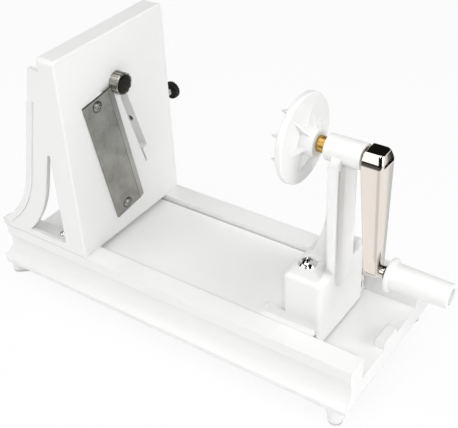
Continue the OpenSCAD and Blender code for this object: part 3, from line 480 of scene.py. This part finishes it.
frameScrew = {"head": 3.8, "rise": 2.5, "shank": 2.0, "length": 16.0,
              "rows": (-114.0, -152.0), "side": 53.0, "seat": 42.0}
screwSet("frame_screw_heads", frameScrew,
         [standing(spot(row, side * frameScrew["side"], frameScrew["seat"]), boltTurn)
          for row in frameScrew["rows"] for side in (-1, 1)],
         boltPlate, "base", "frame_screws")

# the blade leans in the plate's plane, and its outer side is lifted about its far edge
bladeMiddle = spot(bladeSeat["front"], bladeSeat["side"], bladeSeat["height"])
bladeLean = Matrix.Rotation(math.radians(bladeSeat["lean"]), 4, "X")
bladeLift = Matrix.Rotation(math.radians(bladeSeat["lift"]), 4, "Z")
leaning = standing(bladeMiddle, bladeLean) \
    @ Matrix.Translation((0, -bladeSeat["width"] / 2, 0)) @ bladeLift \
    @ Matrix.Translation((bladeSeat["thickness"], bladeSeat["width"] / 2, 0))
bladeTurn = alongX @ Matrix.Rotation(math.radians(bladeScrew["turn"]), 4, "Z")
screwSet("blade_screw_heads", bladeScrew,
         [leaning @ Matrix.Translation((0, -bladeScrew["offset"], end * bladeScrew["reach"])) @ bladeTurn
          for end in (-1, 1)],
         screwSatin, "base", "blade_screws")


# the brass collar: a turned ring whose outer rows of points stand in and out by turns
collar = {"start": 113.2, "axis": 177.5, "length": 8.0, "radius": 6.3, "bore": 4.0, "chamfer": 0.6,
          "around": 44, "rows": 9, "depth": 0.36, "near": 0.01, "crease": 8}
step = (collar["length"] - 2 * collar["chamfer"]) / collar["rows"]
face = collar["radius"] - collar["chamfer"]
outline = [(collar["bore"], 0), (face, 0)]
outline += [(collar["radius"], collar["chamfer"] + row * step) for row in range(collar["rows"] + 1)]
outline += [(face, collar["length"]), (collar["bore"], collar["length"])]
shape = turned(outline, collar["around"], True)
for point in shape.verts:
    row = round((point.co.z - collar["chamfer"]) / step)
    column = round(math.atan2(point.co.y, point.co.x) / math.tau * collar["around"])
    if spread(point) > collar["radius"] - collar["near"] and (row + column) % 2:
        point.co.xy *= 1 - collar["depth"] / spread(point)
collarPlace = standing(spot(collar["start"], 0, collar["axis"]), alongX)
toPiece("knurled_collar", toMesh("knurled_collar", shape, collarPlace),
        knurlBrass, "crank", "thrust_collar", collar["crease"])


# the chrome arm: a tapered outline with a round foot, given thickness, capped, its edges rounded over;
# an edge's rounding is its width and segments, and its least angle is in radians
arm = {"inner": 151.2, "outer": 168.3, "footInner": 156.0, "pin": 83.0, "foot": 6.5, "footSteps": 18,
       "shoulder": 178.5, "half": 10.8, "rise": 8.0, "inset": 3.5, "faceInset": 1.7, "backInset": 1.0,
       "outerEdge": (3.5, 6), "backEdge": (1.0, 3), "shoulderEdge": (2.6, 6), "crownEdge": (1.2, 4),
       "flankAngle": 0.9, "shoulderAngle": 0.05, "crownAngle": 0.25, "slack": 0.7, "near": 0.01,
       "crease": 60}
boss = {"radius": 5.0, "end": 172.0, "edge": 0.7, "edgeSteps": 4, "sharp": 60, "around": 48}
crown = arm["shoulder"] + arm["rise"]


def pointsOf(items):
    return [item for item in items if isinstance(item, bmesh.types.BMVert)]


def level(edge, height):
    return all(abs(point.co.z - height) < arm["slack"] for point in edge.verts)


def behind(edge):
    return all(point.co.x < arm["footInner"] + arm["near"] for point in edge.verts)


def flank(edge):
    steep = edge.calc_face_angle() > arm["flankAngle"]
    return steep and not level(edge, arm["shoulder"]) and not level(edge, crown)


def onShoulder(edge):
    return level(edge, arm["shoulder"]) and edge.calc_face_angle() > arm["shoulderAngle"]


def onCrown(edge):
    return level(edge, crown) and edge.calc_face_angle() > arm["crownAngle"]


shape = bmesh.new()
heel = shape.verts.new((arm["outer"], arm["foot"], arm["pin"]))
bmesh.ops.spin(shape, geom=[heel], cent=(arm["outer"], 0, arm["pin"]), axis=(-1, 0, 0),
               angle=math.pi, steps=arm["footSteps"])
loop = shape.verts[:]
loop += [shape.verts.new((arm["outer"], side * arm["half"], arm["shoulder"])) for side in (-1, 1)]
grown = bmesh.ops.extrude_face_region(shape, geom=[shape.faces.new(loop)])["geom"]
for point in pointsOf(grown):
    fall = (arm["shoulder"] - point.co.z) / (arm["shoulder"] - arm["pin"])
    point.co.x = arm["inner"] + min(fall, 1.0) * (arm["footInner"] - arm["inner"])
bmesh.ops.recalc_face_normals(shape, faces=shape.faces)
top = max(shape.faces, key=lambda face: face.calc_center_median().z)
cap = pointsOf(bmesh.ops.extrude_face_region(shape, geom=[top])["geom"])
bmesh.ops.delete(shape, geom=[top], context="FACES_ONLY")
for point in cap:
    point.co.z += arm["rise"]
    point.co.y *= 1 - arm["inset"] / arm["half"]
    point.co.x += arm["backInset"] if point.co.x < (arm["inner"] + arm["outer"]) / 2 else -arm["faceInset"]
tidied(shape)
roundOver(shape, *arm["outerEdge"], lambda edge: flank(edge) and not behind(edge))
roundOver(shape, *arm["backEdge"], lambda edge: flank(edge) and behind(edge))
roundOver(shape, *arm["shoulderEdge"], onShoulder)
roundOver(shape, *arm["crownEdge"], onCrown)
shape.transform(standing(spot(0, 0, 0)))

# the boss at the pin, sunk into the arm by the depth of its rounded edge
sunk = arm["outerEdge"][0]
bossHeight = boss["end"] - arm["outer"] + sunk
bossOutline = [(0, 0), (boss["radius"], 0), (boss["radius"], bossHeight), (0, bossHeight)]
bossShape = turned(bossOutline, boss["around"])
roundOver(bossShape, boss["edge"], boss["edgeSteps"],
          lambda edge: sharper(boss["sharp"])(edge) and edge.verts[0].co.z > sunk)
bossPlace = standing(spot(arm["outer"] - sunk, 0, arm["pin"]), alongX)
bossMesh = toMesh("boss", tidied(bossShape), bossPlace)
shape.from_mesh(bossMesh)
bpy.data.meshes.remove(bossMesh)
bmesh.ops.recalc_face_normals(shape, faces=shape.faces)
evenNormals(toPiece("chrome_arm", toMesh("chrome_arm", shape),
                    chromePlate, "crank", "crank_arm", arm["crease"]))


# the upright again, the column's flat top falling away on both sides of the bearing tube
column = {"half": 15.5, "top": 176.5, "fall": 6.0, "weld": 0.000001, "near": 0.0001, "crease": 28}
shape = bmesh.new()
shape.from_mesh(nodes["upright"].data)
shape.transform(nodes["upright"].matrix_world)
bmesh.ops.remove_doubles(shape, verts=shape.verts, dist=column["weld"])
columnTop = spot(0, 0, column["top"])
for point in shape.verts:
    out = abs(abs(point.co.y - columnTop.y) - column["half"] / perMetre)
    if out < column["near"] and abs(point.co.z - columnTop.z) < column["near"]:
        point.co.z -= column["fall"] / perMetre
bmesh.ops.recalc_face_normals(shape, faces=shape.faces)
uprightMesh = toMesh("moulded_upright", shape)
uprightMesh.materials.clear()
evenNormals(toPiece("moulded_upright", uprightMesh,
                    whitePlastic, "carriage", "upright", column["crease"]))


# the clamp stud: one tooth of thread swept up a helix, its crest given as shares of the pitch
stud = {"x": -85.0, "tip": 21.5, "height": 132.0, "radius": 3.0, "root": 2.5, "pitch": 1.0,
        "crest": (0.42, 0.58), "turns": 55, "steps": 18, "crease": 25}
shape = bmesh.new()
crest = [(stud["radius"], share) for share in stud["crest"]]
profile = [(stud["root"], 0.0)] + crest + [(stud["root"], 1.0)]
tooth = [shape.verts.new((radius, 0, stud["pitch"] * share)) for radius, share in profile]
lines = [shape.edges.new(pair) for pair in zip(tooth, tooth[1:])]
bmesh.ops.spin(shape, geom=tooth + lines, cent=(0, 0, 0), axis=(0, 0, 1),
               dvec=(0, 0, stud["pitch"] / stud["steps"]),
               angle=math.tau * stud["turns"], steps=stud["steps"] * stud["turns"])
tidied(shape)
fillHoles(shape)
studPlace = standing(spot(stud["x"], stud["tip"], stud["height"]), alongY)
toPiece("clamp_thread", toMesh("clamp_thread", tidied(shape), studPlace),
        studSteel, "clamp_screw", "clamp_stud", stud["crease"])


# the clamp knob: a turned rim with notches and a dish round its hub
knob = {"start": 74.5, "x": -85.0, "height": 132.0, "thick": 6.5, "hub": 4.1, "bore": 3.05, "step": 1.5,
        "radius": 7.9, "lip": 6.6, "dish": 1.2, "edge": 0.45, "edgeSteps": 3, "sharp": 50, "clear": 0.1,
        "notches": 20, "notchHalf": 0.26, "depth": 0.55, "around": 160, "crease": 30}
floorOfDish = knob["step"] + knob["dish"]
rim = knob["radius"] - knob["edge"]
shape = turned([(knob["bore"], 0), (knob["hub"], 0), (knob["hub"], floorOfDish), (knob["lip"], floorOfDish),
                (knob["lip"], knob["step"]), (rim, knob["step"]),
                (knob["radius"], knob["step"] + knob["edge"]), (knob["radius"], knob["thick"] - knob["edge"]),
                (rim, knob["thick"]), (0, knob["thick"]), (0, knob["thick"] / 2),
                (knob["bore"], knob["thick"] / 2)], knob["around"])
fillHoles(shape)
roundOver(shape, knob["edge"], knob["edgeSteps"],
          lambda edge: sharper(knob["sharp"])(edge) and spread(edge.verts[0]) > knob["bore"] + knob["clear"])
for point in shape.verts:
    share = math.atan2(point.co.y, point.co.x) / math.tau * knob["notches"] % 1
    if spread(point) > knob["lip"] + knob["clear"] and abs(share - 0.5) < knob["notchHalf"]:
        point.co.xy *= 1 - knob["depth"] / spread(point)
knobPlace = standing(spot(knob["x"], knob["start"], knob["height"]), alongY)
toPiece("dished_knob", toMesh("dished_knob", tidied(shape), knobPlace),
        knobBlack, "clamp_head", "clamp_knob", knob["crease"])


# the grip: flange and tapered barrel turned in one, with an open end
grip = {"start": 175.0, "axis": 83.0, "length": 49.0, "flange": 13.4, "depth": 3.5, "root": 10.6, "end": 9.6,
        "bore": 6.3, "hole": 3.06, "recess": 36.7, "edge": 1.2, "edgeSteps": 5, "sharp": 40, "clear": 1.0,
        "mouth": 0.5, "mouthSteps": 2, "mouthSharp": 50, "near": 0.01, "around": 72, "crease": 40}


def outside(edge):
    return all(spread(point) > grip["bore"] + grip["clear"] for point in edge.verts)


def atMouth(edge):
    return all(abs(point.co.z - grip["length"]) < grip["near"] for point in edge.verts)


shape = turned([(grip["hole"], 0), (grip["flange"], 0), (grip["flange"], grip["depth"]),
                (grip["root"], grip["depth"]), (grip["end"], grip["length"]), (grip["bore"], grip["length"]),
                (grip["bore"], grip["recess"]), (grip["hole"], grip["recess"])], grip["around"], True)
roundOver(shape, grip["edge"], grip["edgeSteps"],
          lambda edge: sharper(grip["sharp"])(edge) and outside(edge))
roundOver(shape, grip["mouth"], grip["mouthSteps"],
          lambda edge: sharper(grip["mouthSharp"])(edge) and atMouth(edge))
gripPlace = standing(spot(grip["start"], 0, grip["axis"]), alongX)
toPiece("grip_barrel", toMesh("grip_barrel", tidied(shape), gripPlace),
        gripPlastic, "grip", "handle_grip", grip["crease"])


# the core tube, its mouth rolled over
shape = turned([(tube["inner"], 0), (tube["outer"], 0), (tube["outer"], tube["length"]),
                (tube["inner"], tube["length"])], tube["around"], True)
roundOver(shape, tube["lip"], tube["lipSteps"], sharper(tube["sharp"]))
tubePlace = standing(spot(tube["start"], 0, tube["axis"]), alongX)
toPiece("core_ring", toMesh("core_ring", tidied(shape), tubePlace),
        ringSteel, "base", "core_tube", tube["crease"])


# the feet, flared at the top and drawn out from their screws towards the corners of the base;
# a profile is heights and radii; a corner says where the outer end lies, and how far a wider ring draws in
foot = {"screw": (165.0, 57.0), "tip": 6.0, "steps": 16, "crease": 40,
        "flare": ((0, 10.0), (-2.5, 8.4), (-5.5, 7.0), (-9.0, 6.3), (-13.0, 6.0)),
        "pad": ((-13.0, 5.6), (-15.4, 5.6), (-16.0, 5.0))}
corners = {1: {"x": 169.5, "side": 73.3, "drawIn": 0.4}, -1: {"x": 172.0, "side": 69.0, "drawIn": 0.5}}


def halfRing(centre, radius, start):
    angles = [start + math.pi * index / foot["steps"] for index in range(foot["steps"] + 1)]
    return [centre + radius * Vector((math.cos(angle), math.sin(angle))) for angle in angles]


def oblong(shape, end, side, profile):
    corner = corners[end]
    inner = Vector((end * foot["screw"][0], side * foot["screw"][1]))
    rings = []
    for height, radius in profile:
        outer = Vector((end * (corner["x"] - (radius - foot["tip"]) * corner["drawIn"]),
                        side * (corner["side"] - max(radius, foot["tip"]))))
        heading = math.atan2(outer.y - inner.y, outer.x - inner.x)
        ring = halfRing(outer, radius, heading - math.pi / 2) + halfRing(inner, radius, heading + math.pi / 2)
        rings.append([shape.verts.new((*point, height)) for point in ring])
    for upper, lower in zip(rings, rings[1:]):
        for index in range(len(upper)):
            shape.faces.new((upper[index - 1], upper[index], lower[index], lower[index - 1]))
    shape.faces.new(rings[0])
    shape.faces.new(rings[-1])


places = ((1, -1, "near_right"), (1, 1, "far_right"), (-1, -1, "near_left"), (-1, 1, "far_left"))
for end, side, name in places:
    shape = bmesh.new()
    oblong(shape, end, side, foot["flare"])
    toPiece("flared_foot_" + name, toMesh("flared_foot_" + name, tidied(shape), standing(spot(0, 0, 0))),
            whitePlastic, "base", "foot_" + name, foot["crease"])
shape = bmesh.new()
for end in (-1, 1):
    for side in (-1, 1):
        oblong(shape, end, side, foot["pad"])
toPiece("oblong_pads", toMesh("oblong_pads", tidied(shape), standing(spot(0, 0, 0))),
        padRubber, "base", "foot_pads", foot["crease"])


def toStage(name, mesh, paint):
    mesh.materials.append(paint.material)
    item = bpy.data.objects.new(name, mesh)
    bpy.context.scene.collection.objects.link(item)
    return item


# the floor: matt and pale, white to the camera, and dark to mirrored rays near the viewer
floor = {"size": 6.0, "speck": 60.0, "dark": (0.89, 0.89, 0.89, 1), "light": (0.90, 0.90, 0.90, 1),
         "glow": 0.90, "white": (1, 1, 1, 1), "shade": (0.008, 0.008, 0.008, 1), "end": (-0.50, -0.30)}
shape = bmesh.new()
bmesh.ops.create_grid(shape, x_segments=1, y_segments=1, size=floor["size"])
paint = Paint("floor_paint")
shine = paint.ray("Is Glossy Ray")
speck = paint.noise(paint.place(), floor["speck"])
matt = paint.node("ShaderNodeBsdfDiffuse", {}, {"Color": paint.mix(speck, floor["dark"], floor["light"])})
ended = shine * (1 - paint.fade(paint.axis(paint.place(), "Y"), *floor["end"]))
glow = paint.node("ShaderNodeEmission", {}, {
    "Color": paint.mix(ended, floor["white"], floor["shade"]), "Strength": 1.0})
share = (paint.ray("Is Camera Ray") + shine) * floor["glow"]
paint.node("ShaderNodeOutputMaterial", {}, {"Surface": paint.blend(share, matt, glow)})
toStage("floor", toMesh("floor", shape), paint)

# the room: even light, white to the camera, and to mirrored rays dark but for a white sweep on the far side
room = {"light": 0.32, "white": 1.0, "dark": 0.008, "top": (0.10, 0.17), "side": (-0.45, -0.10)}
world = bpy.data.worlds.new("studio")
bpy.context.scene.world = world
world.use_nodes = True
paint = Paint("studio", world.node_tree)
facing = paint.node("ShaderNodeTexCoord", out="Generated")
under = 1 - paint.fade(paint.axis(facing, "Z"), *room["top"])
sweep = under * paint.fade(paint.axis(facing, "Y"), *room["side"])
plain, white, dark = (paint.node("ShaderNodeBackground", {}, {"Color": (1, 1, 1, 1), "Strength": room[key]})
                      for key in ("light", "white", "dark"))
mirrored = paint.blend(paint.ray("Is Glossy Ray"), plain, paint.blend(sweep, dark, white))
lens = paint.ray("Is Camera Ray") + paint.ray("Is Transmission Ray")
paint.node("ShaderNodeOutputWorld", {}, {"Surface": paint.blend(lens, mirrored, white)})

# area lamps, all aimed at the middle of the object, with sizes in metres and powers in watts
aim = Vector((0, 0, 0.1))
lamps = {
    "key_light": {"place": (0.63, -0.87, 0.90), "size": (0.25, 0.25), "power": 3.5},
    "top_light": {"place": (0, -0.2, 1.6), "size": (1.2, 1.2), "power": 9.4},
    "near_light": {"place": (-0.55, -1.12, 0.80), "size": (1.3, 1.0), "power": 5.8},
    "end_light": {"place": (1.5, 0.1, 0.6), "size": (0.8, 0.8), "power": 9.7}}
for name, look in lamps.items():
    lamp = bpy.data.lights.new(name, "AREA")
    lamp.shape = "RECTANGLE"
    lamp.size, lamp.size_y = look["size"]
    lamp.energy = look["power"]
    held = bpy.data.objects.new(name, lamp)
    bpy.context.scene.collection.objects.link(held)
    away = Vector(look["place"]) - aim
    facing = away.to_track_quat("Z", "Y").to_matrix().to_4x4()
    held.matrix_world = Matrix.Translation(look["place"]) @ facing

# glowing cards lying round the crank, met only by mirrored rays: painted reflections that shade the chrome
# arm's edges and its cap;
# each is a sector seen from a point, between two headings in degrees and two distances
cards = {
    "edge_card": {"from": (0.1483, -0.0009), "headings": (66.1, 120.0), "reach": (0.05, 0.335),
                  "tone": (0.62, 0.66, 0.67)},
    "dip_card": {"from": (0.1403, -0.0100), "headings": (-114.0, -46.0), "reach": (0.06, 0.32),
                 "tone": (0.76, 0.76, 0.75)},
    "rim_card": {"from": (0.1438, 0.0000), "headings": (55.5, 120.0), "reach": (0.345, 0.80),
                 "tone": (0.010, 0.010, 0.009)}}
cardSheet = {"height": 0.001, "steps": 12, "fibre": 300.0, "fibreDim": 0.96, "rough": 0.9}
for name, card in cards.items():
    first, last = (math.radians(angle) for angle in card["headings"])
    angles = [first + (last - first) * index / cardSheet["steps"] for index in range(cardSheet["steps"] + 1)]
    start = Vector((*card["from"], cardSheet["height"]))
    near, far = card["reach"]
    arcs = [(near, angle) for angle in angles] + [(far, angle) for angle in reversed(angles)]
    shape = bmesh.new()
    shape.faces.new([shape.verts.new(start + Vector((math.cos(angle), math.sin(angle), 0)) * reach)
                     for reach, angle in arcs])
    paint = Paint(name + "_paint")
    # the fibre noise dims the painted reflection a little here and there
    fibre = paint.noise(paint.place(), cardSheet["fibre"])
    fibreDim = [value * cardSheet["fibreDim"] for value in card["tone"]]
    paint.surface({
        "Base Color": (0, 0, 0, 1), "Roughness": cardSheet["rough"], "Specular IOR Level": 0.0,
        "Emission Color": paint.mix(fibre, (*fibreDim, 1), (*card["tone"], 1)), "Emission Strength": 1.0})
    sheet = toStage(name, toMesh(name, shape), paint)
    sheet.visible_camera = False
    sheet.visible_diffuse = False
    sheet.visible_shadow = False

# the photograph's camera: turn, tilt and roll in degrees, place in metres, lens and sensor in millimetres
view = {"turn": 36.333, "tilt": 35.573, "roll": -3.009, "place": (0.36004, -0.48237, 0.52510),
        "lens": 70.0, "sensor": 36.0}
turn, tilt, roll = (math.radians(view[key]) for key in ("turn", "tilt", "roll"))
back = Vector((math.sin(turn) * math.cos(tilt), -math.cos(turn) * math.cos(tilt), math.sin(tilt)))
right = Vector((math.cos(turn), math.sin(turn), 0))
up = back.cross(right)
sideways = right * math.cos(roll) + up * math.sin(roll)
upright = up * math.cos(roll) - right * math.sin(roll)
cameraData = bpy.data.cameras.new("camera")
cameraData.lens = view["lens"]
cameraData.sensor_width = view["sensor"]
cameraData.sensor_fit = "HORIZONTAL"
camera = bpy.data.objects.new("camera", cameraData)
bpy.context.scene.collection.objects.link(camera)
looking = Matrix((sideways, upright, back)).transposed().to_4x4()
camera.matrix_world = Matrix.Translation(view["place"]) @ looking
bpy.context.scene.camera = camera
bpy.context.scene.view_settings.view_transform = "Standard"
print("stage set")
